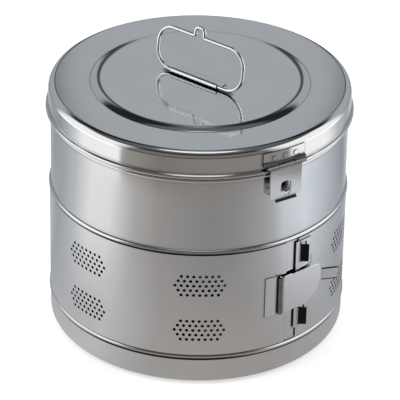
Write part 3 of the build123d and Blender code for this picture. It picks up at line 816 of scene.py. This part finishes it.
def stand_card(name, mesh, paint):
    """A grey card of the studio, seen only in the steel. paint(tree) gives its colour and its
    cover, which is 0 where the white background shows past it."""
    material = bpy.data.materials.new(name)
    material.use_nodes = True
    tree = material.node_tree
    tree.nodes.remove(tree.nodes["Principled BSDF"])
    colour, cover = paint(tree)
    paper = node(tree, "ShaderNodeEmission", {"Strength": 1.0})
    tree.links.new(colour, paper.inputs["Color"])
    clear = node(tree, "ShaderNodeBsdfTransparent")
    either = node(tree, "ShaderNodeMixShader")
    tree.links.new(cover, either.inputs["Fac"])
    tree.links.new(clear.outputs[0], either.inputs[1])
    tree.links.new(paper.outputs[0], either.inputs[2])
    tree.links.new(either.outputs[0], tree.nodes["Material Output"].inputs["Surface"])
    mesh.materials.append(material)
    card = bpy.data.objects.new(name, mesh)
    bpy.context.scene.collection.objects.link(card)
    card.visible_camera = False
    card.visible_diffuse = False
    card.visible_transmission = False
    card.visible_shadow = False
    card.visible_volume_scatter = False
    return card


def side_cover(tree, azimuth):
    """0 in the gap at each side of the studio, where the white background shows, or else 1."""
    return ramp(tree, azimuth, round_studio(
        (-122, grey(1)),
        (-112, grey(0)),
        (-62, grey(0)),
        (-50, grey(1)),
        (50, grey(1)),
        (64, grey(0)),
        (112, grey(0)),
        (124, grey(1)),
    ))


def distance_paint(tree, azimuth):
    """What lies far off and low: dark straight behind and in front, and pale between."""
    return ramp(tree, azimuth, round_studio(
        (-180, grey(0.03)),
        (-170, grey(0.03)),
        (-163, grey(0.24, -0.05)),
        (-125, grey(0.34, -0.05)),
        (-50, grey(0.07)),
        (50, grey(0.07)),
        (125, grey(0.34, -0.05)),
        (163, grey(0.24, -0.05)),
        (170, grey(0.03)),
        (180, grey(0.03)),
    ))


def paint_room(tree):
    """The cards that stand round the drum: grey behind, dark in front and overhead, with a gap of
    white at each side and straight above."""
    direction = node(tree, "ShaderNodeVectorMath", operation="NORMALIZE")
    tree.links.new(rest_place(tree), direction.inputs[0])
    split = separate(tree, direction.outputs[0])
    elevation = math_node(tree, "MULTIPLY", math_node(tree, "ARCSINE", split["Z"]), 180 / pi)
    azimuth = from_front(tree, split["X"], split["Y"])
    walls = ramp(tree, azimuth, round_studio(
        (-180, grey(0.42, -0.06)),
        (-174.5, grey(0.42, -0.06)),
        (-172, grey(0.06)),
        (-168, grey(0.06)),
        (-165.5, grey(0.39, -0.06)),
        (-120, grey(0.40, -0.06)),
        (-60, grey(0.36)),
        (-48, grey(0.17, 0.04)),
        (48, grey(0.17, 0.04)),
        (62, grey(0.36)),
        (120, grey(0.42, -0.08)),
        (165.5, grey(0.40, -0.06)),
        (168, grey(0.06)),
        (172, grey(0.06)),
        (174.5, grey(0.42, -0.06)),
        (180, grey(0.42, -0.06)),
    ))
    overhead = ramp(tree, azimuth, round_studio(
        (-180, (0.24, 0.27, 0.24)),
        (-177.5, (0.18, 0.20, 0.18)),
        (-174.5, grey(0.07)),
        (-170, grey(0.015)),
        (-140, grey(0.02)),
        (-110, grey(0.08)),
        (-62, grey(0.06)),
        (-46, grey(0.02)),
        (46, grey(0.02)),
        (62, grey(0.06)),
        (110, grey(0.08)),
        (140, grey(0.02)),
        (170, grey(0.015)),
        (174.5, grey(0.06)),
        (177.5, (0.18, 0.20, 0.18)),
        (180, (0.24, 0.27, 0.24)),
    ))
    dark_corner = ramp(tree, azimuth, round_studio(
        (-172, grey(0)),
        (-165, grey(1)),
        (-135, grey(1)),
        (-125, grey(0)),
    ))
    lag = -6.0
    lagging = math_node(tree, "MULTIPLY_ADD", dark_corner, lag, elevation)
    steep = blend(tree, rise(tree, lagging, *steep_edge), overhead, grey(0.12, -0.03))
    above = blend(tree, rise(tree, elevation, *overhead_edge), walls, steep)
    low = distance_paint(tree, azimuth)
    colour = blend(tree, rise(tree, elevation, *horizon_edge), low, above)
    over_gaps = rise(tree, elevation, *gap_head_edge)
    sides = math_node(tree, "MAXIMUM", side_cover(tree, azimuth), over_gaps)
    under_roof = fall(tree, elevation, *roof_edge)
    return colour, math_node(tree, "MULTIPLY", sides, under_roof)


def paint_table(tree):
    """The cards that lie on the floor round the drum. The wall's foot mirrors the near ring, its
    head the middle one and the skirt of the lid the outer one."""
    split = separate(tree, rest_place(tree))
    reach = length(tree, split["X"], split["Y"])
    azimuth = from_front(tree, split["X"], split["Y"])
    near = ramp(tree, azimuth, round_studio(
        (-180, grey(0.51)),
        (-130, grey(0.56)),
        (-113, grey(0.38, -0.05)),
        (-92, grey(0.46, -0.03)),
        (-50, grey(0.55)),
        (-20, grey(0.36, 0.04)),
        (30, grey(0.335, 0.05)),
        (60, grey(0.385)),
        (84, grey(0.40, -0.02)),
        (105, grey(0.36, -0.05)),
        (118, grey(0.40, -0.05)),
        (134, grey(0.60, -0.03)),
        (180, grey(0.51)),
    ))
    middle = ramp(tree, azimuth, round_studio(
        (-180, grey(0.8)),
        (-147, grey(0.45, -0.03)),
        (-129, grey(0.36, -0.04)),
        (-111, grey(0.41, -0.06)),
        (-94, grey(0.55, -0.03)),
        (-77, grey(0.86)),
        (-61, grey(0.82)),
        (-42, grey(0.44, 0.03)),
        (-25, grey(0.32, 0.04)),
        (-8, grey(0.28, 0.03)),
        (9, grey(0.255, 0.03)),
        (25, grey(0.275, 0.02)),
        (42, grey(0.355)),
        (51, grey(0.44, -0.02)),
        (59, grey(0.65, -0.04)),
        (77, grey(0.76, -0.06)),
        (94, grey(0.61, -0.07)),
        (111, grey(0.45, -0.07)),
        (129, grey(0.31, -0.05)),
        (147, grey(0.62, -0.02)),
        (180, grey(0.8)),
    ))
    outer = ramp(tree, azimuth, round_studio(
        (-180, grey(0.9)),
        (-151, grey(0.62, -0.05)),
        (-133, grey(0.37, -0.05)),
        (-115, grey(0.32, -0.06)),
        (-99, grey(0.58, -0.04)),
        (-86, grey(0.95)),
        (-55, grey(1.0)),
        (-52, grey(0.33, 0.05)),
        (-44, grey(0.29, 0.07)),
        (-26, grey(0.20, 0.09)),
        (0, grey(0.225, 0.10)),
        (26, grey(0.235, 0.09)),
        (50, grey(0.25, 0.06)),
        (62, grey(0.27, 0.05)),
        (66, grey(1.0)),
        (98, grey(1.0)),
        (115, grey(0.54, -0.06)),
        (133, grey(0.40, -0.06)),
        (151, grey(0.75)),
        (180, grey(0.9)),
    ))
    inner = blend(tree, rise(tree, reach, *middle_edge), near, middle)
    rings = blend(tree, rise(tree, reach, *outer_edge), inner, outer)
    far = distance_paint(tree, azimuth)
    colour = blend(tree, rise(tree, reach, *distance_edge), rings, far)
    before_gaps = fall(tree, reach, *gap_start_edge)
    return colour, math_node(tree, "MAXIMUM", side_cover(tree, azimuth), before_gaps)


def stand_cards():
    """The studio's cards, none of which the camera sees: a dome round the room and a disc that lies
    on the floor."""
    dome_radius, disc_radius, disc_depth = 5.0, 4.9, 0.2 * mm
    dome = bmesh.new()
    bmesh.ops.create_uvsphere(dome, u_segments=48, v_segments=24, radius=dome_radius)
    mesh = bpy.data.meshes.new("room_cards")
    dome.to_mesh(mesh)
    dome.free()
    stand_card("room_cards", mesh, paint_room)
    disc = bmesh.new()
    bmesh.ops.create_circle(disc, cap_ends=True, segments=64, radius=disc_radius)
    mesh = bpy.data.meshes.new("table_cards")
    disc.to_mesh(mesh)
    disc.free()
    stand_card("table_cards", mesh, paint_table).location.z = -disc_depth


def soft_box(name, azimuth, elevation, size, power):
    """A square soft lamp aimed at the middle of the drum, its azimuth from the camera's side."""
    distance = 2.2
    data = bpy.data.lights.new(name, "AREA")
    data.shape = "SQUARE"
    data.size = size
    data.energy = power
    lamp = bpy.data.objects.new(name, data)
    bpy.context.scene.collection.objects.link(lamp)
    around = radians(azimuth + camera_azimuth)
    up = radians(elevation)
    out = Vector((sin(around) * cos(up), -cos(around) * cos(up), sin(up)))
    lamp.location = out * distance + Vector((0, 0, drum_middle))
    lamp.rotation_euler = out.to_track_quat("Z", "Y").to_euler()
    lamp.visible_glossy = False


white_world()
make_floor()
stand_cards()
soft_box("left_box", azimuth=-70, elevation=45, size=1.2, power=30)
soft_box("right_box", azimuth=80, elevation=45, size=1.2, power=22)
soft_box("top_box", azimuth=180, elevation=75, size=1.6, power=25)

bpy.context.scene.view_settings.view_transform = "Standard"
